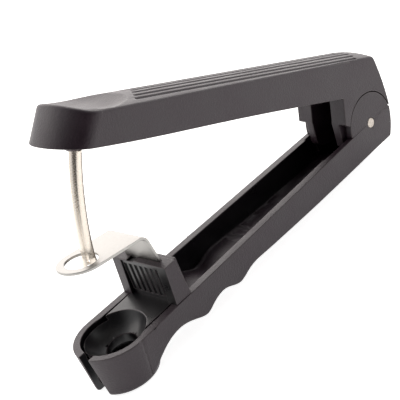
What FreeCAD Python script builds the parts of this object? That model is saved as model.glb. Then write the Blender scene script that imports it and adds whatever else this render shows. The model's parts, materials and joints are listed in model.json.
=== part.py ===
import FreeCAD, Part
import math
import os

from FreeCAD import Vector as V

# Cherry pitter with lever. Millimetres, +Z up. The shapes are made about the hinge axis, with the
# cup at -X, and are moved at the end so that the origin is the centre of the box's underside.

# Hinge, punch arc and pose
ARC_R = 140.0
OPEN_DEG = 23.5
PIN_R = 2.0
PIN_FIT = 0.04
GAP = 0.3

# Plan of body and lever: half width at the hinge and its growth to the cup
HALF_W0 = 12.2
HALF_GROW = 3.3
TAPER_LEN = 140.5

# Body
RIM_Z = 0.45
DRAFT_DEG = 5.0
WALL = 3.5
FLOOR_T = 2.4
BODY_LOW_Z = -17.0
CUP_LOW_X = -142.6
CUP_LOW_R = 12.6
DRAFT_TURN_X = -112.0
BODY_REAR_X = 12.9
REAR_WALL_T = 2.8
LOWER_EDGE_R = 0.8
EAR_R = 12.46
EAR_T = 3.2
RECESS_DEPTH = 0.9
NEAR_RECESS_FROM_X = -28.5
FAR_RECESS_FROM_X = -17.0
LUG_LOW_Z = -8.6
UNDERSIDE = [
    (9.4, -12.3),
    (-39.4, -11.8),
    (-71.5, -10.7),
    (-78.0, -10.3),
    (-82.4, -10.5),
    (-86.3, -11.6),
    (-90.1, -12.6),
    (-93.9, -11.5),
    (-97.2, -10.0),
    (-100.0, -9.6),
    (-103.2, -10.1),
    (-106.7, -11.4),
    (-109.9, -12.5),
    (-113.1, -11.5),
    (-117.2, -9.7),
    (-122.5, -8.3),
    (-127.8, -8.8),
    (-132.6, -10.9),
    (-136.3, -13.4),
    (-140.8, -16.2),
]
HEEL_MID = (12.0, -6.1)
FLOOR_HEEL_INSET = 1.3
STATION_STEP = 4.0

# Cup
CUP_X = -140.8
CUP_R = 15.5
CUP_WALL = 3.0
CUP_FLOOR_T = 2.4
CUP_EDGE_R = 1.8
SLOT_W = 5.0
SLOT_LOW_W = 6.8
FLOOR_HOLE_R = 7.5

# Insert: tray in the cup, plug between the walls, block over the rims
TRAY_LOW_Z = -9.4
TRAY_LOW_FIT = 0.9
SEAT_R = 13.8
SEAT_RISE = 5.6
PLUG_LOW_Z = -5.0
PLUG_FRONT_X = -134.8
PIT_HOLE_R = 6.0
TRAY_SLOT_W = 5.0
BLOCK_FRONT_X = -121.2
BLOCK_REAR_X = -113.5
BLOCK_TOP_FRONT_X = -119.7
BLOCK_TOP_REAR_X = -114.4
BLOCK_TOP_Z = 15.7
BLOCK_HALF_W = 14.6
CHEEK_W = 4.6
HOLLOW_DEPTH = 1.5
FLUTE_N = 7
FLUTE_R = 0.8
PAD_REAR_X = -111.6
PAD_HALF_W = 11.4
NOTCH_Y = 4.4
NOTCH_W = 3.6
NOTCH_DEPTH = 0.9

# Stripper plate
PLATE_T = 1.0
PLATE_HALF_W = 9.15
PLATE_TILT_DEG = 8.8
PLATE_BEND_X = -120.3
PLATE_BEND_Z = 28.3
PLATE_BEND_R = 3.5
LEG_TILT_DEG = 8.2
PLATE_HOLE_S = 19.75
PLATE_HOLE_R = 6.2
PLATE_LEG_LEN = 21.5
LEG_FIT = 0.1

# Lever, in its own frame: u forward along it, w up
LEVER_ARCH_R = 50.0
LEVER_APEX_W = 27.88
LEVER_WALL = 2.5
LEVER_ROOF = 2.2
NOSE_APEX_U = 153.7
NOSE_APEX_W = 14.3
NOSE_RAKE = 0.38
NOSE_FRONT_R = 19.5
NOSE_CORNER_R = 7.0
TOP_EDGE_R = 1.2
LEVER_LOW = [
    (16.8, 12.0),
    (43.0, 12.6),
    (80.0, 13.1),
    (128.0, 13.3),
    (142.0, 13.7),
    (158.0, 14.3),
]
LEVER_REAR = [(-12.15, 5.0), (-6.5, 19.0), (-0.4, 29.5)]
LEVER_REAR_LOW_Z = 0.8
DISH_U = 133.7
DISH_LOW_W = 24.9
DISH_R = 34.5
DISH_CROSS_R = 110.0
GROOVES = [
    (0.0, 112.9, 2.0),
    (3.8, 115.3, 3.3),
    (7.6, 117.7, 5.1),
    (10.9, 120.0, 7.1),
]
GROOVE_R = 0.95
GROOVE_DEPTH = 0.55
SKIRT = [(16.8, 13.2), (15.8, 1.2), (13.4, 0.45), (5.0, 0.45), (5.0, 13.2)]
WEB_T = 1.6
LUG_IN_Y = 5.2
LUG_OUT_Y = 8.6
LUG_R = 8.0
LUG = [
    (17.9, 26.0),
    (16.8, 13.2),
    (15.8, 1.2),
    (12.9, -7.9),
    (9.9, -9.0),
    (0.0, -8.0),
    (-8.0, 0.0),
    (-5.0, 14.0),
    (2.0, 26.0),
]
BOSS_R = 3.8
BOSS_LOW_W = 11.2
BOSS_CHAMFER = 1.2

# Punch
PUNCH_R = 2.3
PUNCH_FIT = 0.04
PUNCH_GROOVES_DEG = [45.0, 135.0, 225.0, 315.0]
PUNCH_GROOVE_W = 1.0
PUNCH_GROOVE_DEPTH = 0.75
PUNCH_GROOVE_END_DEG = 2.0
PUNCH_TIP_DEG = 11.2
PUNCH_ROOT_W = 15.5
CROWN_R = 2.85
CROWN_LEN = 4.5
CROWN_BORE_R = 1.9
CROWN_BORE_LEN = 3.0
CROWN_NOTCH_W = 1.5
CROWN_NOTCH_DEPTH = 1.6

# Return spring
SPRING_WIRE_R = 0.5
SPRING_R = 3.2
SPRING_PITCH = 1.45
SPRING_TURNS = 3
SPRING_SHIFT_Y = -0.4
SPRING_FROM_DEG = -70.0
SPRING_TO_DEG = 11.5
SPRING_FLOOR_LEG = 16.4
SPRING_ROOF_LEG = 28.0

EPS = 0.01
BIG = 400.0


def half_w(x):
    return HALF_W0 - HALF_GROW * min(x, 0.0) / TAPER_LEN


def box(x0, x1, y0, y1, z0, z1):
    return Part.makeBox(x1 - x0, y1 - y0, z1 - z0, V(x0, y0, z0))


def face_xz(points, y):
    wire = Part.makePolygon([V(x, y, z) for x, z in points + points[:1]])
    return Part.Face(wire)


def prism_xz(points, y0, y1):
    return face_xz(points, y0).extrude(V(0, y1 - y0, 0))


def cylinder_y(x, z, r, y0, y1):
    return Part.makeCylinder(r, y1 - y0, V(x, y0, z), V(0, 1, 0))


def curve_prism(points, close, half):
    # a prism across Y whose lower or upper border is a smooth curve through the points
    curve = Part.BSplineCurve()
    curve.interpolate([V(x, -half, z) for x, z in points])
    lines = [V(points[-1][0], -half, points[-1][1])]
    lines += [V(x, -half, z) for x, z in close]
    lines.append(V(points[0][0], -half, points[0][1]))
    edges = [curve.toShape()]
    for a, b in zip(lines, lines[1:]):
        edges.append(Part.makeLine(a, b))
    return Part.Face(Part.Wire(edges)).extrude(V(0, 2 * half, 0))


def taper_block(x_front, x_rear, z0, z1, inset, draft_deg):
    # a block whose side walls follow the plan's taper and draw in below the rim
    wires = []
    for z in (z0, z1):
        shift = inset + (RIM_Z - z) * math.tan(math.radians(draft_deg))
        corner = [
            V(x_rear, -(half_w(x_rear) - shift), z),
            V(0, -(half_w(0) - shift), z),
            V(x_front, -(half_w(x_front) - shift), z),
            V(x_front, half_w(x_front) - shift, z),
            V(0, half_w(0) - shift, z),
            V(x_rear, half_w(x_rear) - shift, z),
        ]
        wires.append(Part.makePolygon(corner + corner[:1]))
    return Part.makeLoft(wires, True, True)


def edges_where(shape, test):
    return [e for e in shape.Edges if test(e)]


# Lower body: channel, cup, ears

slope = math.tan(math.radians(DRAFT_DEG))


def channel_draft(x):
    # the walls lean in more where they run into the cup
    cup_deg = math.degrees(math.atan((CUP_R - CUP_LOW_R) / (RIM_Z - BODY_LOW_Z)))
    t = min(max((DRAFT_TURN_X - x) / (DRAFT_TURN_X - CUP_X), 0.0), 1.0)
    return DRAFT_DEG + (cup_deg - DRAFT_DEG) * t * t * (3 - 2 * t)


def channel_section(x, z_low):
    # one cross section: flat rim, drafted sides, rounded lower corners
    half = half_w(x)
    draft_deg = channel_draft(x)
    low = half - (RIM_Z - z_low) * math.tan(math.radians(draft_deg))
    inner_deg = 90.0 + draft_deg
    reach = LOWER_EDGE_R / math.tan(math.radians(inner_deg / 2))
    up_y = math.sin(math.radians(draft_deg))
    up_z = math.cos(math.radians(draft_deg))
    side_end = (low + reach * up_y, z_low + reach * up_z)
    flat_end_y = low - reach
    centre = (flat_end_y, z_low + LOWER_EDGE_R)
    turn = math.radians(-45.0 + draft_deg / 2)
    mid_arc = (
        centre[0] + LOWER_EDGE_R * math.cos(turn),
        centre[1] + LOWER_EDGE_R * math.sin(turn),
    )
    near = Part.Arc(
        V(x, -side_end[0], side_end[1]), V(x, -mid_arc[0], mid_arc[1]), V(x, -flat_end_y, z_low)
    )
    far = Part.Arc(
        V(x, flat_end_y, z_low), V(x, mid_arc[0], mid_arc[1]), V(x, side_end[0], side_end[1])
    )
    return Part.Wire(
        [
            Part.makeLine(V(x, -half, RIM_Z), V(x, -side_end[0], side_end[1])),
            near.toShape(),
            Part.makeLine(V(x, -flat_end_y, z_low), V(x, flat_end_y, z_low)),
            far.toShape(),
            Part.makeLine(V(x, side_end[0], side_end[1]), V(x, half, RIM_Z)),
            Part.makeLine(V(x, half, RIM_Z), V(x, -half, RIM_Z)),
        ]
    )


def underside(x):
    # height of the underside at x: a smooth curve through the named points
    pts = [(30.0, UNDERSIDE[0][1])] + UNDERSIDE + [(-150.0, UNDERSIDE[-1][1])]
    for i in range(1, len(pts) - 2):
        (xa, za), (xb, zb) = pts[i], pts[i + 1]
        if xb <= x <= xa or (i == 1 and x > xa):
            t = min(max((xa - x) / (xa - xb), 0.0), 1.0)
            ma = (pts[i + 1][1] - pts[i - 1][1]) / (pts[i - 1][0] - pts[i + 1][0]) * (xa - xb)
            mb = (pts[i + 2][1] - pts[i][1]) / (pts[i][0] - pts[i + 2][0]) * (xa - xb)
            return (
                (2 * t**3 - 3 * t**2 + 1) * za
                + (t**3 - 2 * t**2 + t) * ma
                + (3 * t**2 - 2 * t**3) * zb
                + (t**3 - t**2) * mb
            )
    return UNDERSIDE[-1][1]


station_n = math.ceil((BODY_REAR_X + 3.0 - CUP_X) / STATION_STEP)
stations = []
for k in range(station_n + 1):
    x = BODY_REAR_X + 3.0 - k * (BODY_REAR_X + 3.0 - CUP_X) / station_n
    stations.append((x, underside(x)))
channel_outer = Part.makeLoft([channel_section(x, z) for x, z in stations], True, False)
heel_keep = Part.Face(
    Part.Wire(
        [
            Part.Arc(
                V(BODY_REAR_X, -BIG / 8, RIM_Z),
                V(HEEL_MID[0], -BIG / 8, HEEL_MID[1]),
                V(UNDERSIDE[0][0], -BIG / 8, UNDERSIDE[0][1]),
            ).toShape(),
            Part.makeLine(
                V(UNDERSIDE[0][0], -BIG / 8, UNDERSIDE[0][1]),
                V(UNDERSIDE[0][0] - 2, -BIG / 8, -BIG / 8),
            ),
            Part.makeLine(V(UNDERSIDE[0][0] - 2, -BIG / 8, -BIG / 8), V(-BIG, -BIG / 8, -BIG / 8)),
            Part.makeLine(V(-BIG, -BIG / 8, -BIG / 8), V(-BIG, -BIG / 8, BIG / 8)),
            Part.makeLine(V(-BIG, -BIG / 8, BIG / 8), V(BODY_REAR_X, -BIG / 8, BIG / 8)),
            Part.makeLine(V(BODY_REAR_X, -BIG / 8, BIG / 8), V(BODY_REAR_X, -BIG / 8, RIM_Z)),
        ]
    )
).extrude(V(0, BIG / 4, 0))
channel_outer = channel_outer.common(heel_keep)

cup_rings = [
    Part.Wire(Part.makeCircle(CUP_LOW_R, V(CUP_LOW_X, 0, BODY_LOW_Z), V(0, 0, 1))),
    Part.Wire(Part.makeCircle(CUP_R, V(CUP_X, 0, RIM_Z), V(0, 0, 1))),
]
cup_outer = Part.makeLoft(cup_rings, True, True)
cup_outer = cup_outer.makeFillet(
    CUP_EDGE_R, edges_where(cup_outer, lambda e: e.BoundBox.ZMax < BODY_LOW_Z + EPS)
)

ears = cylinder_y(0, 0, EAR_R, -HALF_W0, HALF_W0)
ears = ears.common(box(-BIG, BIG, -BIG, BIG, RIM_Z, BIG))
body = channel_outer.fuse(cup_outer).fuse(ears).removeSplitter()

floor_pts = [(x, z + FLOOR_T) for x, z in UNDERSIDE]
floor_rear_x = BODY_REAR_X - REAR_WALL_T - FLOOR_HEEL_INSET
floor_pts[0] = (floor_rear_x, UNDERSIDE[0][1] + FLOOR_T)
channel_cut = curve_prism(
    floor_pts,
    [(CUP_X, EAR_R + 2), (BODY_REAR_X - REAR_WALL_T, EAR_R + 2)],
    BIG / 8,
)
channel_plan = taper_block(CUP_X, BODY_REAR_X, BODY_LOW_Z, EAR_R + 1, WALL, 0.0)
channel_cut = channel_cut.common(channel_plan)
ear_in = HALF_W0 - EAR_T
ear_gap = box(-EAR_R - 1, BODY_REAR_X + 5, -ear_in, ear_in, RIM_Z, EAR_R + 5)
recess_half = ear_in + RECESS_DEPTH
near_recess = box(NEAR_RECESS_FROM_X, -EAR_R, -recess_half, 0, LUG_LOW_Z, RIM_Z + 1)
far_recess = box(FAR_RECESS_FROM_X, -EAR_R, 0, recess_half, LUG_LOW_Z, RIM_Z + 1)
room_rear_x = BODY_REAR_X - REAR_WALL_T
hinge_room = box(-EAR_R - 1, room_rear_x, -ear_in, ear_in, LUG_LOW_Z, RIM_Z + 1)
cup_in = Part.makeCone(
    CUP_R - CUP_WALL - (RIM_Z - BODY_LOW_Z - CUP_FLOOR_T) * slope / 2,
    CUP_R - CUP_WALL + 0.2,
    RIM_Z + 1 - BODY_LOW_Z - CUP_FLOOR_T,
    V(CUP_X, 0, BODY_LOW_Z + CUP_FLOOR_T),
    V(0, 0, 1),
)
floor_hole = Part.makeCylinder(
    FLOOR_HOLE_R, CUP_FLOOR_T + 2, V(CUP_X, 0, BODY_LOW_Z - 1), V(0, 0, 1)
)
slot_x = CUP_X - CUP_R - 2
slot_ends = [
    V(slot_x, -SLOT_LOW_W / 2, BODY_LOW_Z),
    V(slot_x, SLOT_LOW_W / 2, BODY_LOW_Z),
    V(slot_x, SLOT_W / 2, RIM_Z),
    V(slot_x, -SLOT_W / 2, RIM_Z),
]
front_slot = Part.Face(Part.makePolygon(slot_ends + slot_ends[:1])).extrude(V(CUP_R + 2, 0, 0))
pin_hole = cylinder_y(0, 0, PIN_R + PIN_FIT, -HALF_W0 - 1, HALF_W0 + 1)
body = body.cut(channel_cut).cut(ear_gap).cut(near_recess).cut(far_recess).cut(hinge_room)
for cutter in (cup_in, floor_hole, front_slot, pin_hole):
    body = body.cut(cutter)
lower_body = body

# Stripper plate: flat ring, bend and leg, as one bent strip

tilt = math.radians(PLATE_TILT_DEG)
along = V(-math.cos(tilt), 0, math.sin(tilt))
normal = V(math.sin(tilt), 0, math.cos(tilt))
top_start = V(PLATE_BEND_X, 0, PLATE_BEND_Z)
bend_c = top_start - normal * PLATE_BEND_R
leg_tilt = math.radians(LEG_TILT_DEG)
leg_dir = V(math.sin(leg_tilt), 0, -math.cos(leg_tilt))
leg_out = V(math.cos(leg_tilt), 0, math.sin(leg_tilt))
leg_top = bend_c + leg_out * PLATE_BEND_R
flat_end = top_start + along * PLATE_HOLE_S
leg_end = leg_top + leg_dir * PLATE_LEG_LEN
r_in = PLATE_BEND_R - PLATE_T
mid = (normal + leg_out).normalize()
outer_path = [
    Part.makeLine(flat_end, top_start),
    Part.Arc(top_start, bend_c + mid * PLATE_BEND_R, leg_top).toShape(),
    Part.makeLine(leg_top, leg_end),
    Part.makeLine(leg_end, leg_end - leg_out * PLATE_T),
    Part.makeLine(leg_end - leg_out * PLATE_T, leg_top - leg_out * PLATE_T),
    Part.Arc(
        leg_top - leg_out * PLATE_T, bend_c + mid * r_in, top_start - normal * PLATE_T
    ).toShape(),
    Part.makeLine(top_start - normal * PLATE_T, flat_end - normal * PLATE_T),
    Part.makeLine(flat_end - normal * PLATE_T, flat_end),
]
strip = Part.Face(Part.Wire(outer_path)).extrude(V(0, 2 * PLATE_HALF_W, 0))
strip.translate(V(0, -PLATE_HALF_W, 0))
disc = Part.makeCylinder(PLATE_HALF_W, PLATE_T, flat_end - normal * PLATE_T, normal)
hole = Part.makeCylinder(PLATE_HOLE_R, 3 * PLATE_T, flat_end - normal * 2 * PLATE_T, normal)
stripper_plate = strip.fuse(disc).removeSplitter().cut(hole)

# Cup insert

tray = Part.makeCone(
    CUP_R - CUP_WALL - GAP - TRAY_LOW_FIT,
    CUP_R - CUP_WALL - 2 * GAP,
    RIM_Z - TRAY_LOW_Z,
    V(CUP_X, 0, TRAY_LOW_Z),
    V(0, 0, 1),
)
seat = Part.makeSphere(SEAT_R, V(CUP_X, 0, RIM_Z + SEAT_RISE))
block = prism_xz(
    [
        (BLOCK_FRONT_X, RIM_Z),
        (BLOCK_TOP_FRONT_X, BLOCK_TOP_Z),
        (BLOCK_TOP_REAR_X, BLOCK_TOP_Z),
        (BLOCK_REAR_X, RIM_Z),
    ],
    -BLOCK_HALF_W,
    BLOCK_HALF_W,
)
pad = box(BLOCK_TOP_FRONT_X, PAD_REAR_X, -PAD_HALF_W, PAD_HALF_W, RIM_Z, BLOCK_TOP_Z - 1.5)
plug_half = half_w(PAD_REAR_X) - WALL - GAP
plug = box(PLUG_FRONT_X, PAD_REAR_X, -plug_half, plug_half, PLUG_LOW_Z, RIM_Z)
insert = block.fuse(pad).fuse(plug).fuse(tray)
hollow_w = 2 * (BLOCK_HALF_W - CHEEK_W)
hollow = prism_xz(
    [
        (BLOCK_FRONT_X - 3, RIM_Z),
        (BLOCK_FRONT_X + HOLLOW_DEPTH, RIM_Z),
        (BLOCK_TOP_FRONT_X + 0.4, BLOCK_TOP_Z - 0.8),
        (BLOCK_TOP_FRONT_X - 3, BLOCK_TOP_Z - 0.8),
    ],
    -hollow_w / 2,
    hollow_w / 2,
)
insert = insert.cut(hollow).cut(seat)
for k in range(FLUTE_N):
    y = (k - (FLUTE_N - 1) / 2) * hollow_w / FLUTE_N
    foot = V(BLOCK_FRONT_X + HOLLOW_DEPTH, y, RIM_Z + 1.5)
    head = V(BLOCK_TOP_FRONT_X + 0.5, y, BLOCK_TOP_Z - 2.2)
    flute = Part.makeCylinder(FLUTE_R, (head - foot).Length, foot, head - foot)
    insert = insert.cut(flute)
leg_wire = Part.makePolygon(
    [
        leg_top + leg_out * LEG_FIT,
        leg_top - leg_out * (PLATE_T + LEG_FIT),
        leg_end - leg_out * (PLATE_T + LEG_FIT) + leg_dir * GAP,
        leg_end + leg_out * LEG_FIT + leg_dir * GAP,
        leg_top + leg_out * LEG_FIT,
    ]
)
leg_slot = Part.Face(leg_wire).extrude(V(0, 2 * (PLATE_HALF_W + LEG_FIT), 0))
leg_slot.translate(V(0, -(PLATE_HALF_W + LEG_FIT), 0))
pit_hole = Part.makeCylinder(PIT_HOLE_R, BIG / 8, V(CUP_X + 1, 0, -BIG / 16), V(0, 0, 1))
tray_slot = box(CUP_X - CUP_R, CUP_X, -TRAY_SLOT_W / 2, TRAY_SLOT_W / 2, -BIG, BIG)
notch = box(
    BLOCK_TOP_FRONT_X - 3,
    BLOCK_TOP_REAR_X + 5,
    NOTCH_Y - NOTCH_W / 2,
    NOTCH_Y + NOTCH_W / 2,
    BLOCK_TOP_Z - NOTCH_DEPTH,
    BLOCK_TOP_Z + 1,
)
for cutter in (leg_slot, pit_hole, tray_slot, notch):
    insert = insert.cut(cutter)
cup_insert = insert.removeSplitter()

# Lever, made closed (u = -x, w = z) and turned open at the end


def nose_outline(apex, w, side_inset):
    # plan outline at height w: sides by the taper, front a shallow arc
    slope_w = HALF_GROW / TAPER_LEN
    u_side = apex - NOSE_CORNER_R
    for _ in range(40):
        y_side = HALF_W0 + slope_w * u_side - side_inset
        u_side = apex - (NOSE_FRONT_R - math.sqrt(NOSE_FRONT_R**2 - y_side**2))
    y_side = HALF_W0 + slope_w * u_side - side_inset
    y0 = HALF_W0 - side_inset
    arc = Part.Arc(V(-u_side, -y_side, w), V(-apex, 0, w), V(-u_side, y_side, w)).toShape()
    rear = 40.0
    corner = [
        V(-u_side, y_side, w),
        V(0, y0, w),
        V(rear, y0, w),
        V(rear, -y0, w),
        V(0, -y0, w),
        V(-u_side, -y_side, w),
    ]
    edges = [arc]
    for a, b in zip(corner, corner[1:]):
        edges.append(Part.makeLine(a, b))
    return Part.Wire(edges)


def lever_plan(inset, front_inset, corner_r):
    low_w, high_w = -12.0, 34.0
    wires = []
    for w in (low_w, high_w):
        apex = NOSE_APEX_U - front_inset - (w - NOSE_APEX_W) * NOSE_RAKE
        wires.append(nose_outline(apex, w, inset))
    solid = Part.makeLoft(wires, True, True)
    corners = edges_where(
        solid,
        lambda e: e.CenterOfMass.x < -120 and abs(e.CenterOfMass.y) > 8 and e.BoundBox.ZLength > 20,
    )
    return solid.makeFillet(corner_r, corners)


def arch(r):
    return Part.makeCylinder(r, BIG, V(-BIG / 2, 0, LEVER_APEX_W - LEVER_ARCH_R), V(1, 0, 0))


def dish(grow):
    major = DISH_CROSS_R - DISH_R
    centre = V(-DISH_U, 0, DISH_LOW_W + DISH_CROSS_R)
    return Part.makeTorus(major, DISH_R + grow, centre, V(1, 0, 0))


def rear_profile(shift, low_w):
    pts = [V(-(u + shift), -BIG / 8, w) for u, w in LEVER_REAR]
    arc = Part.Arc(*pts).toShape()
    a = pts[0]
    b = pts[2]
    low = V(a.x, a.y, low_w)
    lines = [b, V(b.x, b.y, 60), V(-BIG, b.y, 60), V(-BIG, b.y, low_w), low, a]
    edges = [arc]
    for p, q in zip(lines, lines[1:]):
        edges.append(Part.makeLine(p, q))
    return Part.Face(Part.Wire(edges)).extrude(V(0, BIG / 4, 0))


shell = lever_plan(0.0, 0.0, NOSE_CORNER_R).common(rear_profile(0.0, -20.0))
shell = shell.common(arch(LEVER_ARCH_R))


def top_side_edge(e):
    b = e.BoundBox
    return b.ZMin > 22 and abs(e.CenterOfMass.z - 26.5) < 3 and b.DiagonalLength > 1


shell = shell.makeFillet(TOP_EDGE_R, edges_where(shell, top_side_edge))
shell = shell.cut(dish(0.0))

nose_wall = LEVER_WALL / math.cos(math.atan(NOSE_RAKE))
cavity = lever_plan(LEVER_WALL, nose_wall, NOSE_CORNER_R - LEVER_WALL)
cavity = cavity.common(rear_profile(LEVER_WALL, -30.0))
cavity = cavity.common(arch(LEVER_ARCH_R - LEVER_ROOF))
cavity = cavity.cut(dish(LEVER_ROOF))
shell = shell.cut(cavity)

low_cut_pts = [(-u, w) for u, w in LEVER_LOW]
skirt_front_u, skirt_top_w = SKIRT[0]
low_cut_end = [(-BIG / 2, LEVER_LOW[-1][1]), (-BIG / 2, -BIG / 8), (-skirt_front_u, -BIG / 8)]
low_cut = curve_prism(low_cut_pts, low_cut_end, BIG / 8)
shell = shell.cut(low_cut)
clear_r = EAR_R + GAP
ear_clear = Part.makeCylinder(clear_r, BIG / 4, V(0, -BIG / 8, 0), V(0, 1, 0))
inner_y = HALF_W0 - EAR_T - GAP - 0.1
keep_mid = box(-BIG, BIG, -inner_y, inner_y, -BIG, BIG)
shell = shell.cut(ear_clear.cut(keep_mid))
rear_low = box(-2 * EAR_R, 2 * EAR_R, -BIG / 8, BIG / 8, -BIG / 8, LEVER_REAR_LOW_Z)
rear_low.rotate(V(0, 0, 0), V(0, 1, 0), -OPEN_DEG)
shell = shell.cut(rear_low)
skirt_keep = prism_xz([(-u, w) for u, w in SKIRT], -BIG / 8, BIG / 8)
under_lim = box(-skirt_front_u, 0, -BIG / 8, BIG / 8, -BIG / 8, LEVER_LOW[0][1])
shell = shell.cut(under_lim.cut(skirt_keep).cut(ear_clear))

web_front = [(-u, w) for u, w in SKIRT[:2]]
web_back = [(x + WEB_T, w) for x, w in reversed(web_front)]
web_out_y = HALF_W0 - LEVER_WALL / 2
lugs = []
for side in (-1, 1):
    y0, y1 = sorted((side * LUG_IN_Y, side * LUG_OUT_Y))
    lug = prism_xz([(-u, w) for u, w in LUG], y0, y1)
    lug = lug.fuse(cylinder_y(0, 0, LUG_R, y0, y1)).removeSplitter()
    y0, y1 = sorted((side * (LUG_IN_Y + LUG_OUT_Y) / 2, side * web_out_y))
    lugs.append(lug.fuse(prism_xz(web_front + web_back, y0, y1)))

boss_top = 24.0
boss = Part.makeCylinder(BOSS_R, boss_top - BOSS_LOW_W, V(-ARC_R, 0, BOSS_LOW_W), V(0, 0, 1))
boss = boss.makeChamfer(
    BOSS_CHAMFER, edges_where(boss, lambda e: e.BoundBox.ZMax < BOSS_LOW_W + EPS)
)
boss = boss.cut(dish(LEVER_ROOF / 2))
lever = shell.fuse(lugs[0]).fuse(lugs[1]).fuse(boss)



def capsule(start, end, r):
    # a bar with round ends; its seam and its poles stand above what it cuts
    axis = (end - start).normalize()
    up = V(0, 0, r)
    out = axis * r
    lean = math.sqrt(0.5)
    first = Part.Arc(start - out, start + (up - out) * lean, start + up)
    last = Part.Arc(end + up, end + (up + out) * lean, end + out)
    profile = [
        first.toShape(),
        Part.makeLine(start + up, end + up),
        last.toShape(),
        Part.makeLine(end + out, start - out),
    ]
    return Part.Face(Part.Wire(profile)).revolve(start, axis, 360)


for y, front_u, rear_u in GROOVES:
    top_w = LEVER_APEX_W - (LEVER_ARCH_R - math.sqrt(LEVER_ARCH_R**2 - y**2))
    groove_w = top_w + GROOVE_R - GROOVE_DEPTH
    for side in ((1,) if y == 0 else (-1, 1)):
        front_end = V(-front_u, side * y, groove_w)
        rear_end = V(-rear_u, side * y, groove_w)
        lever = lever.cut(capsule(front_end, rear_end, GROOVE_R))
lever = lever.cut(cylinder_y(0, 0, PIN_R + PIN_FIT, -BIG / 8, BIG / 8))

# Punch: a round bar on the arc about the hinge, with a groove on each side and a crown tip

root_deg = math.degrees(math.atan2(PUNCH_ROOT_W, ARC_R))
tip_deg = PUNCH_TIP_DEG - OPEN_DEG


def on_arc(deg, r):
    return V(-r * math.cos(math.radians(deg)), 0, r * math.sin(math.radians(deg)))


def swing(profile, sweep_deg):
    # sweep a closed profile round the hinge axis, upwards from where it stands
    return Part.Face(profile).revolve(V(0, 0, 0), V(0, 1, 0), sweep_deg)


def arc_bar(radius, deg0, deg1):
    start = on_arc(deg0, ARC_R)
    circle = Part.Wire(Part.makeCircle(radius, start, V(start.z, 0, -start.x)))
    return swing(circle, deg1 - deg0)


crown_deg = math.degrees(CROWN_LEN / ARC_R)
bar = arc_bar(PUNCH_R, tip_deg + crown_deg / 2, root_deg)
tip = on_arc(tip_deg, ARC_R)
tip_up = V(-tip.z, 0, tip.x) * (-1 / ARC_R)
crown = Part.makeCone(CROWN_R, PUNCH_R, CROWN_LEN, tip, tip_up)
punch = bar.fuse(crown)
bore = Part.makeCylinder(CROWN_BORE_R, CROWN_BORE_LEN + 1, tip - tip_up, tip_up)
punch = punch.cut(bore)
for turn in PUNCH_GROOVES_DEG[:2]:
    notch_box = Part.makeBox(
        4 * CROWN_R,
        CROWN_NOTCH_W,
        CROWN_NOTCH_DEPTH + 1,
        V(-2 * CROWN_R, -CROWN_NOTCH_W / 2, -1),
    )
    notch_box.rotate(V(0, 0, 0), V(0, 0, 1), turn)
    notch_box.Placement = FreeCAD.Placement(
        tip, FreeCAD.Rotation(V(0, 0, 1), tip_up)
    ).multiply(notch_box.Placement)
    punch = punch.cut(notch_box)
groove_half = PUNCH_GROOVE_W / 2
groove_from = tip_deg + crown_deg / 2
groove_sweep = root_deg - PUNCH_GROOVE_END_DEG - groove_from
start = on_arc(groove_from, ARC_R)
radial = start * (1 / ARC_R)
for turn in PUNCH_GROOVES_DEG:
    cosine = math.cos(math.radians(turn))
    sine = math.sin(math.radians(turn))
    out = radial * cosine + V(0, sine, 0)
    across = (V(0, cosine, 0) - radial * sine) * groove_half
    bed = start + out * (PUNCH_R - PUNCH_GROOVE_DEPTH)
    mouth = start + out * (CROWN_R + GAP)
    rect = [bed + across, mouth + across, mouth - across, bed - across]
    punch = punch.cut(swing(Part.makePolygon(rect + rect[:1]), groove_sweep))
socket = arc_bar(PUNCH_R + PUNCH_FIT, tip_deg + crown_deg, root_deg)
lever = lever.cut(socket)

lever.rotate(V(0, 0, 0), V(0, 1, 0), OPEN_DEG)
punch.rotate(V(0, 0, 0), V(0, 1, 0), OPEN_DEG)

# Hinge pin

hinge_pin = cylinder_y(0, 0, PIN_R, -HALF_W0, HALF_W0)

# Return spring: one tube on biarcs, with a leg to the lever's roof and a leg to the body's floor


def coil_point(turn_rad):
    y = SPRING_SHIFT_Y + SPRING_PITCH * (turn_rad - SPRING_MID) / (2 * math.pi)
    return V(SPRING_R * math.cos(turn_rad), y, SPRING_R * math.sin(turn_rad))


def coil_tangent(turn_rad):
    rise = SPRING_PITCH / (2 * math.pi)
    return V(-SPRING_R * math.sin(turn_rad), rise, SPRING_R * math.cos(turn_rad)).normalize()


def arc_from(a, tangent, b):
    chord = b - a
    unit = V(chord).normalize()
    lean = math.acos(max(-1.0, min(1.0, tangent.dot(unit))))
    out = (tangent - unit * tangent.dot(unit)).normalize()
    return Part.Arc(a, (a + b) * 0.5 + out * (chord.Length / 2 * math.tan(lean / 2)), b)


def biarc(a, ta, b, tb):
    v = b - a
    both = ta + tb
    k = 2 * (1 - ta.dot(tb))
    vb = v.dot(both)
    d = (-vb + math.sqrt(vb * vb + 2 * k * v.dot(v))) / k if k > EPS else v.Length / 4
    join = ((a + ta * d) + (b - tb * d)) * 0.5
    first = arc_from(a, ta, join)
    second_t = (b - tb * d - (a + ta * d)).normalize()
    return [first.toShape(), arc_from(join, second_t, b).toShape()]


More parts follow.
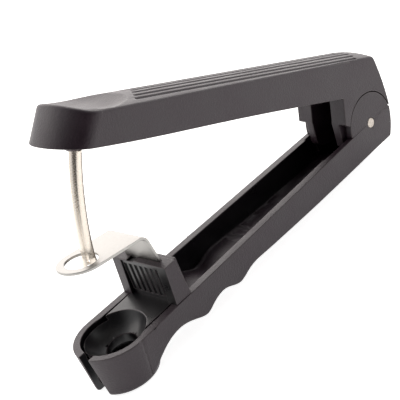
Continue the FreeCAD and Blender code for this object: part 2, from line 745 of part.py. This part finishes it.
coil_from = math.radians(SPRING_FROM_DEG)
coil_to = math.radians(SPRING_TO_DEG + 360.0 * SPRING_TURNS)
SPRING_MID = (coil_from + coil_to) / 2
quarter_n = 4 * SPRING_TURNS + 2
path_edges = []
floor_leg = coil_point(coil_from) - coil_tangent(coil_from) * SPRING_FLOOR_LEG
roof_leg = coil_point(coil_to) + coil_tangent(coil_to) * SPRING_ROOF_LEG
path_edges.append(Part.makeLine(floor_leg, coil_point(coil_from)))
for k in range(quarter_n):
    t0 = coil_from + (coil_to - coil_from) * k / quarter_n
    t1 = coil_from + (coil_to - coil_from) * (k + 1) / quarter_n
    path_edges += biarc(coil_point(t0), coil_tangent(t0), coil_point(t1), coil_tangent(t1))
path_edges.append(Part.makeLine(coil_point(coil_to), roof_leg))
spring_path = Part.Wire(path_edges)
ring = Part.Wire(Part.makeCircle(SPRING_WIRE_R, floor_leg, coil_tangent(coil_from)))
return_spring = spring_path.makePipeShell([ring], True, False)

# Least gap of the spring to itself, measured on points of its centre line
line_pts = []
steps = 60 * SPRING_TURNS
for k in range(steps + 1):
    t = coil_from + (coil_to - coil_from) * k / steps
    line_pts.append(coil_point(t))
for k in range(1, 30):
    line_pts.insert(0, coil_point(coil_from) + (floor_leg - coil_point(coil_from)) * (k / 29))
    line_pts.append(coil_point(coil_to) + (roof_leg - coil_point(coil_to)) * (k / 29))
lengths = [0.0]
for a, b in zip(line_pts, line_pts[1:]):
    lengths.append(lengths[-1] + (b - a).Length)
least = BIG
for i, a in enumerate(line_pts):
    for j in range(i + 1, len(line_pts)):
        if lengths[j] - lengths[i] > 3 * SPRING_R:
            least = min(least, (line_pts[j] - a).Length)
print("return_spring least gap to itself", round(least - 2 * SPRING_WIRE_R, 3), "mm")

NODES = {
    "lower_body": lower_body,
    "lever": lever,
    "cup_insert": cup_insert,
    "stripper_plate": stripper_plate,
    "punch": punch,
    "hinge_pin": hinge_pin,
    "return_spring": return_spring,
}

# Whole object about the centre of the underside of its box

ORIGIN_X = -71.17

os.makedirs("parts", exist_ok=True)
for name, shape in NODES.items():
    shape.translate(V(-ORIGIN_X, 0, -BODY_LOW_Z))
    print(name, shape.isValid(), len(shape.Solids), round(shape.Volume), shape.BoundBox)
    shape.exportStep("parts/%s.step" % name)
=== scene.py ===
import json
import math

import bmesh
import bpy
from mathutils import Matrix, Vector


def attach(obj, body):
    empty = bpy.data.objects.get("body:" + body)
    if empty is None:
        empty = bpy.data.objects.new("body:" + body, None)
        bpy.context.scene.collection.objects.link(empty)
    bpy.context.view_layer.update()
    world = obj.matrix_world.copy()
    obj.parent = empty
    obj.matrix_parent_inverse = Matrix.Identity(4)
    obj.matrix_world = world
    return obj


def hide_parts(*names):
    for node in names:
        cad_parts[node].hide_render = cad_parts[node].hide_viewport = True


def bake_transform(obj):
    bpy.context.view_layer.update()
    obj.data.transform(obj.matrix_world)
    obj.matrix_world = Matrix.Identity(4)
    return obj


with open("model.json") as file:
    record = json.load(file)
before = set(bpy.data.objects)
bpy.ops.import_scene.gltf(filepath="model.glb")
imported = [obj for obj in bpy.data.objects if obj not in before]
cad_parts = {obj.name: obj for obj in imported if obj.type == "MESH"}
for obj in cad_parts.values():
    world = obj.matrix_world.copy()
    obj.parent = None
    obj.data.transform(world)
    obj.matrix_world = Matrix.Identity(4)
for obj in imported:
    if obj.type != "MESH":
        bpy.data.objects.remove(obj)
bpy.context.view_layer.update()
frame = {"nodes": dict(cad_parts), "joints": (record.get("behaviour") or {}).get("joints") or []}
nodes = frame["nodes"]
hinge = Vector(frame["joints"][0]["pos_m"])

MM = 0.001

# Camera: where it stands, the way back to it from the object, and the picture's upward direction
CAMERA_AT = Vector((-260.28, -345.58, 256.03)) * MM
CAMERA_BACK = Vector((-0.51668, -0.72139, 0.46113))
CAMERA_UP = Vector((0.56324, 0.11926, 0.81764))
CAMERA_LENS = 117.0
CAMERA_SENSOR = 36.0
CAMERA_NEAR = 0.01
CAMERA_FAR = 20.0

# Colours of the finishes, as they look in plain light
PLASTIC_DARK = "#24161f"
PLASTIC_LIGHT = "#31222c"
# Painted highlight colour for the rounded plastic corners
EDGE_HIGHLIGHT_DARK = "#3a3135"
EDGE_HIGHLIGHT_LIGHT = "#4a4043"
# Painted shade colour for the insides and for the seat under the fruit
INSIDE_SHADE_DARK = "#0b090c"
INSIDE_SHADE_LIGHT = "#141116"
PLATE_STEEL = "#b3b1ae"
PLATE_SHADE = "#a6a4a0"
PUNCH_STEEL = "#e6ddd2"
PUNCH_SHADE = "#d6ccc0"
PIN_STEEL = "#cac2b9"
PIN_SHADE = "#a0988f"
SPRING_STEEL = "#8f8b87"
SPRING_SHADE = "#6d6966"
WHITE = "#ffffff"
WARM_WHITE = "#fff8f4"
FLOOR_GREY = "#e9e8e6"

# Corner rounding of each moulding or pressing
BODY_EDGE = 0.30 * MM
LEVER_EDGE = 0.30 * MM
INSERT_EDGE = 0.22 * MM
PLATE_EDGE = 0.14 * MM
PIN_EDGE = 0.30 * MM
MERGE = 0.002 * MM
FLAT_DEG = 0.15
CORNER_DEG = 24.0
CORNER_SEGMENTS = 2
SMOOTH_DEG = 40.0
NORMAL_WEIGHT = 80
INNER_LEAN = 0.5

# Where the insert's painted shade ends: rear, half width and top of the hollow, rear of the tray
SEAT_REAR_X = -46.9 * MM
SEAT_HALF_W = 10.1 * MM
SEAT_TOP_Z = 32.2 * MM
TRAY_REAR_X = -51.0 * MM

# Return spring, as wound on the hinge pin
WIRE_R = 0.5 * MM
COIL_R = 3.2 * MM
COIL_PITCH = 1.45 * MM
COIL_SHIFT = -0.4 * MM
COIL_FROM_DEG = -70.0
COIL_TO_DEG = 1091.5
FLOOR_LEG = 16.4 * MM
ROOF_LEG = 28.0 * MM
WIRE_STEP = 0.4 * MM
WIRE_SIDES = 12

# Grain and lines of the finishes
NOISE_LOW = 0.3
NOISE_HIGH = 0.7
SAND_BUMP = 0.9
LINE_BUMP = 0.5
CLOUD_SIZE = 9 * MM


def colour(code):
    # sRGB hex to linear light
    parts = [int(code[i : i + 2], 16) / 255 for i in (1, 3, 5)]
    linear = [c / 12.92 if c <= 0.04045 else ((c + 0.055) / 1.055) ** 2.4 for c in parts]
    return (*linear, 1.0)


def add(tree, kind, settings=None, inputs=None):
    # one node, with its settings, and its inputs as values or as links
    node = tree.nodes.new(kind)
    for name, value in (settings or {}).items():
        setattr(node, name, value)
    for key, value in (inputs or {}).items():
        if isinstance(value, bpy.types.NodeSocket):
            tree.links.new(value, node.inputs[key])
        else:
            node.inputs[key].default_value = value
    return node


def mixed(tree, factor, dark, light):
    # a colour between two by a factor
    settings = {"data_type": "RGBA"}
    inputs = {0: factor, 6: colour(dark), 7: colour(light)}
    return add(tree, "ShaderNodeMix", settings, inputs).outputs[2]


def ranged(tree, value, low, high):
    # the part of a noise's values where nearly all of them lie, spread over low to high
    inputs = {"Value": value, "From Min": NOISE_LOW, "From Max": NOISE_HIGH}
    inputs.update({"To Min": low, "To Max": high})
    return add(tree, "ShaderNodeMapRange", {}, inputs).outputs["Result"]


def finish_of(name, build):
    # a material whose shader's inputs are what build gives for its tree
    material = bpy.data.materials.new(name)
    material.use_nodes = True
    tree = material.node_tree
    tree.nodes.clear()
    shader = add(tree, "ShaderNodeBsdfPrincipled", {}, build(tree))
    add(tree, "ShaderNodeOutputMaterial", {}, {"Surface": shader.outputs[0]})
    return material


# Plastic mouldings: black ABS from a spark-eroded tool. The eye gets a satin black with a fine
# sandy grain that breaks the light up, and greyer sheen where it is seen flat on the surface.


def eroded_plastic(dark, light, grain, grain_depth, rough_low, rough_high):
    def build(tree):
        place = add(tree, "ShaderNodeTexCoord").outputs["Object"]
        fine = {"Vector": place, "Scale": 1 / grain, "Detail": 2.0, "Roughness": 0.55}
        sand = add(tree, "ShaderNodeTexNoise", {}, fine).outputs["Fac"]
        wide = {"Vector": place, "Scale": 1 / CLOUD_SIZE, "Detail": 3.0, "Roughness": 0.5}
        cloud = add(tree, "ShaderNodeTexNoise", {}, wide).outputs["Fac"]
        both = add(tree, "ShaderNodeMath", {"operation": "ADD"}, {0: sand, 1: cloud}).outputs[0]
        half = add(tree, "ShaderNodeMath", {"operation": "MULTIPLY"}, {0: both, 1: 0.5})
        height = {"Height": sand, "Distance": grain_depth, "Strength": SAND_BUMP}
        return {
            "Base Color": mixed(tree, ranged(tree, half.outputs[0], 0.0, 1.0), dark, light),
            "Roughness": ranged(tree, cloud, rough_low, rough_high),
            "IOR": 1.53,
            "Normal": add(tree, "ShaderNodeBump", {}, height).outputs[0],
        }

    return build


# The real grain is about 0.15 mm and is drawn at 0.60 mm, so that it shows.
outer_plastic = finish_of(
    "spark_eroded_abs",
    eroded_plastic(PLASTIC_DARK, PLASTIC_LIGHT, 0.60 * MM, 0.13 * MM, 0.40, 0.49),
)
# Painted highlight on the rounded corners: a lighter, greyer colour, and a little smoother.
edge_highlight_plastic = finish_of(
    "painted_edge_highlight_abs",
    eroded_plastic(EDGE_HIGHLIGHT_DARK, EDGE_HIGHLIGHT_LIGHT, 0.45 * MM, 0.012 * MM, 0.36, 0.44),
)
# Painted shade for the body's insides and the insert's seat: deep black with a soft gloss and drag
# marks.
painted_shade_plastic = finish_of(
    "painted_shade_abs",
    eroded_plastic(INSIDE_SHADE_DARK, INSIDE_SHADE_LIGHT, 1.6 * MM, 0.020 * MM, 0.26, 0.36),
)


# Stainless parts. Each has lines along the way that it was worked, which stretch its highlights.


def worked_steel(light, shade, line, length, depth, rough_low, rough_high, turn):
    def build(tree):
        place = add(tree, "ShaderNodeTexCoord").outputs["Object"]
        stretch = {"Vector": place, "Scale": (line / length, 1.0, 1.0), "Rotation": (0, turn, 0)}
        along = add(tree, "ShaderNodeMapping", {}, stretch).outputs[0]
        lines = {"Vector": along, "Scale": 1 / line, "Detail": 2.0, "Roughness": 0.6}
        brush = add(tree, "ShaderNodeTexNoise", {}, lines).outputs["Fac"]
        height = {"Height": brush, "Distance": depth, "Strength": LINE_BUMP}
        return {
            "Base Color": mixed(tree, ranged(tree, brush, 0.0, 1.0), shade, light),
            "Metallic": 1.0,
            "Roughness": ranged(tree, brush, rough_low, rough_high),
            "Normal": add(tree, "ShaderNodeBump", {}, height).outputs[0],
        }

    return build


# Rolled sheet, tumbled after stamping: bright and satin, faint lines along the strip.
plate_steel = finish_of(
    "satin_stainless_sheet",
    worked_steel(PLATE_STEEL, PLATE_SHADE, 0.25 * MM, 6 * MM, 0.004 * MM, 0.38, 0.46, 0.0),
)
# Drawn rod, polished: warm bright metal with lines along the rod.
punch_steel = finish_of(
    "drawn_stainless_rod",
    worked_steel(PUNCH_STEEL, PUNCH_SHADE, 0.22 * MM, 8 * MM, 0.003 * MM, 0.22, 0.3, math.pi / 2),
)
# Cut and deburred pin: small dull rings on a bright end.
pin_steel = finish_of(
    "turned_stainless_pin",
    worked_steel(PIN_STEEL, PIN_SHADE, 0.3 * MM, 0.9 * MM, 0.010 * MM, 0.28, 0.42, 0.4),
)
# Hard-drawn wire: grey with an oily sheen.
wire_steel = finish_of(
    "spring_wire",
    worked_steel(SPRING_STEEL, SPRING_SHADE, 0.3 * MM, 1.2 * MM, 0.004 * MM, 0.3, 0.42, 0.0),
)


# Mouldings and pressings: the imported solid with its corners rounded


def shaded_inner_side(face):
    # faces of the body that look at its middle plane, which get painted shade
    centre = face.calc_center_median()
    return face.normal.y * centre.y < -INNER_LEAN * abs(centre.y)


def shaded_seat_side(face):
    # faces of the insert round and under the fruit: the tray, and the block's hollow front, which
    # get painted shade
    centre = face.calc_center_median()
    in_front = centre.x < SEAT_REAR_X and abs(centre.y) < SEAT_HALF_W and centre.z < SEAT_TOP_Z
    return in_front or centre.x < TRAY_REAR_X


def rounded(node, name, body, radius, materials, shade_test=None):
    # a closed copy of the node's mesh, with rounded corners; the rounding gets the second material
    # and the faces that the given test picks get the third, which on the plastics are a painted
    # highlight and painted shade
    mesh = bpy.data.meshes.new(name)
    work = bmesh.new()
    work.from_mesh(nodes[node].data)
    bmesh.ops.remove_doubles(work, verts=work.verts, dist=MERGE)
    bmesh.ops.dissolve_degenerate(work, edges=work.edges, dist=MERGE)
    bmesh.ops.dissolve_limit(
        work,
        angle_limit=math.radians(FLAT_DEG),
        verts=work.verts,
        edges=work.edges,
        delimit={"NORMAL"},
    )
    for face in work.faces:
        # faces that the test picks get the third material, painted shade on the plastics
        face.material_index = 2 if shade_test and shade_test(face) else 0
        face.smooth = True
    corners = [
        e
        for e in work.edges
        if e.is_manifold
        and e.is_convex
        and e.calc_face_angle() > math.radians(CORNER_DEG)
    ]
    # The rounded corners get the second material, which on the plastics is a painted highlight.
    bmesh.ops.bevel(
        work,
        geom=corners,
        offset=radius,
        offset_type="OFFSET",
        segments=CORNER_SEGMENTS,
        profile=0.5,
        affect="EDGES",
        clamp_overlap=False,
        material=1,
    )
    for face in work.faces:
        face.smooth = True
    work.to_mesh(mesh)
    work.free()
    mesh.set_sharp_from_angle(angle=math.radians(SMOOTH_DEG))
    for material in materials:
        mesh.materials.append(material)
    piece = bpy.data.objects.new(name, mesh)
    bpy.context.scene.collection.objects.link(piece)
    weighted = piece.modifiers.new("even_normals", "WEIGHTED_NORMAL")
    weighted.keep_sharp = True
    weighted.weight = NORMAL_WEIGHT
    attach(piece, body)
    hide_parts(node)
    return piece


# plain moulding colour, painted highlight for the rounded corners, painted shade for the picked
# faces
plastics = [outer_plastic, edge_highlight_plastic, painted_shade_plastic]
rounded("lower_body", "body_moulding", "handle", BODY_EDGE, plastics, shaded_inner_side)
rounded("lever", "lever_moulding", "lever", LEVER_EDGE, plastics)
rounded(
    "cup_insert",
    "insert_moulding",
    "handle",
    INSERT_EDGE,
    plastics,
    shaded_seat_side,
)
rounded(
    "stripper_plate",
    "ring_plate",
    "handle",
    PLATE_EDGE,
    [plate_steel, plate_steel],
)
rounded("hinge_pin", "pin", "handle", PIN_EDGE, [pin_steel, pin_steel])

punch = nodes["punch"]
punch.data.materials.clear()
punch.data.materials.append(punch_steel)


# Return spring: a wire that follows its path, straight leg, coil, straight leg, by one formula


def spring_tree():
    tree = bpy.data.node_groups.new("wound_wire", "GeometryNodeTree")
    sizes = {
        "Wire radius": WIRE_R,
        "Coil radius": COIL_R,
        "Pitch": COIL_PITCH,
        "Shift": COIL_SHIFT,
        "Start angle": math.radians(COIL_FROM_DEG),
        "End angle": math.radians(COIL_TO_DEG),
        "First leg": FLOOR_LEG,
        "Last leg": ROOF_LEG,
        "Step": WIRE_STEP,
    }
    for name in sizes:
        tree.interface.new_socket(name=name, in_out="INPUT", socket_type="NodeSocketFloat")
    tree.interface.new_socket(name="Wire", in_out="OUTPUT", socket_type="NodeSocketGeometry")
    given = tree.nodes.new("NodeGroupInput").outputs

    def sum_of(a, b, operation="ADD"):
        return add(tree, "ShaderNodeMath", {"operation": operation}, {0: a, 1: b}).outputs[0]

    rise = sum_of(given["Pitch"], 2 * math.pi, "DIVIDE")
    reach = sum_of(
        sum_of(
            sum_of(given["Coil radius"], given["Coil radius"], "MULTIPLY"),
            sum_of(rise, rise, "MULTIPLY"),
        ),
        0.5,
        "POWER",
    )
    sweep = sum_of(given["End angle"], given["Start angle"], "SUBTRACT")
    coil_length = sum_of(sweep, reach, "MULTIPLY")
    length = sum_of(sum_of(coil_length, given["First leg"]), given["Last leg"])
    count = sum_of(length, given["Step"], "DIVIDE")
    line = add(tree, "GeometryNodeMeshLine", {"mode": "OFFSET"}, {"Count": count}).outputs[0]
    index = add(tree, "GeometryNodeInputIndex").outputs[0]
    run = sum_of(sum_of(index, given["Step"], "MULTIPLY"), given["First leg"], "SUBTRACT")
    in_coil = sum_of(sum_of(run, 0.0, "MAXIMUM"), coil_length, "MINIMUM")
    past = sum_of(run, in_coil, "SUBTRACT")
    angle = sum_of(sum_of(in_coil, reach, "DIVIDE"), given["Start angle"])
    middle = sum_of(sum_of(given["End angle"], given["Start angle"]), 0.5, "MULTIPLY")
    cosine = sum_of(angle, 0.0, "COSINE")
    sine = sum_of(angle, 0.0, "SINE")
    along = sum_of(sum_of(angle, middle, "SUBTRACT"), rise, "MULTIPLY")
    ahead = sum_of(past, reach, "DIVIDE")
    lead = sum_of(ahead, given["Coil radius"], "MULTIPLY")
    x = sum_of(
        sum_of(given["Coil radius"], cosine, "MULTIPLY"), sum_of(lead, sine, "MULTIPLY"), "SUBTRACT"
    )
    y = sum_of(sum_of(along, given["Shift"]), sum_of(ahead, rise, "MULTIPLY"))
    z = sum_of(sum_of(given["Coil radius"], sine, "MULTIPLY"), sum_of(lead, cosine, "MULTIPLY"))
    place = add(tree, "ShaderNodeCombineXYZ", {}, {"X": x, "Y": y, "Z": z}).outputs[0]
    laid = add(
        tree,
        "GeometryNodeSetPosition",
        {},
        {
            "Geometry": line,
            "Position": add(
                tree, "ShaderNodeVectorMath", {"operation": "ADD"}, {0: place, 1: hinge}
            ).outputs[0],
        },
    )
    curve = add(tree, "GeometryNodeMeshToCurve", {}, {"Mesh": laid.outputs[0]})
    ring = {"Resolution": WIRE_SIDES, "Radius": given["Wire radius"]}
    ring = add(tree, "GeometryNodeCurvePrimitiveCircle", {"mode": "RADIUS"}, ring)
    tube = {"Curve": curve.outputs[0], "Profile Curve": ring.outputs[0], "Fill Caps": True}
    tube = add(tree, "GeometryNodeCurveToMesh", {}, tube)
    smooth = add(tree, "GeometryNodeSetShadeSmooth", {}, {"Geometry": tube.outputs[0]})
    real = add(tree, "GeometryNodeRealizeInstances", {}, {"Geometry": smooth.outputs[0]})
    painted = {"Geometry": real.outputs[0], "Material": wire_steel}
    painted = add(tree, "GeometryNodeSetMaterial", {}, painted)
    add(tree, "NodeGroupOutput", {}, {"Wire": painted.outputs[0]})
    return tree, sizes


def made_by(tree, sizes, name):
    # the plain mesh that a tree gives for these sizes
    maker = bpy.data.objects.new(name + "_maker", bpy.data.meshes.new(name + "_maker"))
    bpy.context.scene.collection.objects.link(maker)
    modifier = maker.modifiers.new("tree", "NODES")
    modifier.node_group = tree
    for item in tree.interface.items_tree:
        if item.in_out == "INPUT":
            modifier[item.identifier] = sizes[item.name]
    evaluated = maker.evaluated_get(bpy.context.evaluated_depsgraph_get())
    mesh = bpy.data.meshes.new_from_object(evaluated)
    bpy.data.objects.remove(maker)
    mesh.name = name
    piece = bpy.data.objects.new(name, mesh)
    bpy.context.scene.collection.objects.link(piece)
    return piece


spring = made_by(*spring_tree(), "spring_wire")
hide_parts("return_spring")
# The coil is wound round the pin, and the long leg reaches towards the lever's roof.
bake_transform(spring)


# Stage: white floor and white surroundings, darker where the room behind the camera would be

WHITE_LEVEL = 1.0
ROOM_LEVEL = 0.08
ROOM_DIRECTION = Vector((-0.50, -0.70, 0.55)).normalized()
ROOM_FROM = 0.25
ROOM_TO = 0.85
FLOOR_SIZE = 6.0
FLOOR_GLOW = 0.86
FLOOR_ROUGH = 0.9
FLOOR_LOW = -0.1 * MM
LAMP_AIM = Vector((0, 0, 0.04))
LAMP_DISTANCE = 0.9

# Softboxes: name, direction from the object, width, height, level. The first lights the tops from
# behind, the second is what tops and steel mirror, the third lifts the rear.
SOFTBOXES = [
    ("back_softbox", (0.05, 0.76, 0.62), 1.7, 0.7, 1.3),
    ("low_backdrop", (0.72, 0.69, 0.05), 1.5, 0.7, 1.45),
    ("side_softbox", (0.85, -0.50, 0.35), 0.6, 0.6, 0.6),
]


def make_world():
    world = bpy.data.worlds.new("white_studio")
    bpy.context.scene.world = world
    world.use_nodes = True
    tree = world.node_tree
    tree.nodes.clear()
    direction = add(tree, "ShaderNodeTexCoord").outputs["Generated"]
    facing = {0: direction, 1: ROOM_DIRECTION}
    facing = add(tree, "ShaderNodeVectorMath", {"operation": "DOT_PRODUCT"}, facing)
    room = {
        "Value": facing.outputs["Value"],
        "From Min": ROOM_FROM,
        "From Max": ROOM_TO,
        "To Min": WHITE_LEVEL,
        "To Max": ROOM_LEVEL,
    }
    room = add(tree, "ShaderNodeMapRange", {"interpolation_type": "SMOOTHSTEP"}, room)
    seen = add(tree, "ShaderNodeLightPath").outputs["Is Camera Ray"]
    level = {0: room.outputs["Result"], 1: seen}
    level = add(tree, "ShaderNodeMath", {"operation": "MAXIMUM"}, level).outputs[0]
    light = {"Color": colour(WHITE), "Strength": level}
    light = add(tree, "ShaderNodeBackground", {}, light)
    add(tree, "ShaderNodeOutputWorld", {}, {"Surface": light.outputs[0]})


def make_floor():
    material = bpy.data.materials.new("white_table")
    material.use_nodes = True
    tree = material.node_tree
    tree.nodes.clear()
    path = add(tree, "ShaderNodeLightPath").outputs
    shown = {0: path["Is Camera Ray"], 1: path["Is Glossy Ray"]}
    shown = add(tree, "ShaderNodeMath", {"operation": "MAXIMUM"}, shown).outputs[0]
    shown = {0: shown, 1: path["Is Transmission Ray"]}
    shown = add(tree, "ShaderNodeMath", {"operation": "MAXIMUM"}, shown).outputs[0]
    glow = add(tree, "ShaderNodeMath", {"operation": "MULTIPLY"}, {0: shown, 1: FLOOR_GLOW})
    paint = {
        "Base Color": colour(FLOOR_GREY),
        "Roughness": FLOOR_ROUGH,
        "Emission Color": colour(WHITE),
        "Emission Strength": glow.outputs[0],
    }
    paint = add(tree, "ShaderNodeBsdfPrincipled", {}, paint)
    add(tree, "ShaderNodeOutputMaterial", {}, {"Surface": paint.outputs[0]})
    half = FLOOR_SIZE / 2
    low = FLOOR_LOW
    mesh = bpy.data.meshes.new("table_top")
    corners = [(-half, -half, low), (half, -half, low), (half, half, low), (-half, half, low)]
    mesh.from_pydata(corners, [], [(0, 1, 2, 3)])
    mesh.materials.append(material)
    floor = bpy.data.objects.new("table_top", mesh)
    bpy.context.scene.collection.objects.link(floor)


def softbox(name, direction, width, height, level):
    # an area lamp that looks at the object and has the same brightness whatever its size
    data = bpy.data.lights.new(name, "AREA")
    data.color = colour(WARM_WHITE)[:3]
    data.shape = "RECTANGLE"
    data.size = width
    data.size_y = height
    data.energy = level * math.pi * width * height
    lamp = bpy.data.objects.new(name, data)
    bpy.context.scene.collection.objects.link(lamp)
    back = Vector(direction).normalized()
    lamp.location = LAMP_AIM + back * LAMP_DISTANCE
    lamp.rotation_mode = "QUATERNION"
    lamp.rotation_quaternion = (-back).to_track_quat("-Z", "Y")
    lamp.visible_camera = False


def make_camera():
    data = bpy.data.cameras.new("camera")
    data.sensor_width = CAMERA_SENSOR
    data.lens = CAMERA_LENS
    data.clip_start = CAMERA_NEAR
    data.clip_end = CAMERA_FAR
    camera = bpy.data.objects.new("camera", data)
    bpy.context.scene.collection.objects.link(camera)
    right = CAMERA_UP.cross(CAMERA_BACK).normalized()
    up = CAMERA_BACK.cross(right).normalized()
    turn = Matrix((right, up, CAMERA_BACK)).transposed().to_4x4()
    camera.matrix_world = Matrix.Translation(CAMERA_AT) @ turn
    bpy.context.scene.camera = camera


make_world()
make_floor()
for box in SOFTBOXES:
    softbox(*box)
make_camera()
bpy.context.scene.view_settings.view_transform = "Standard"
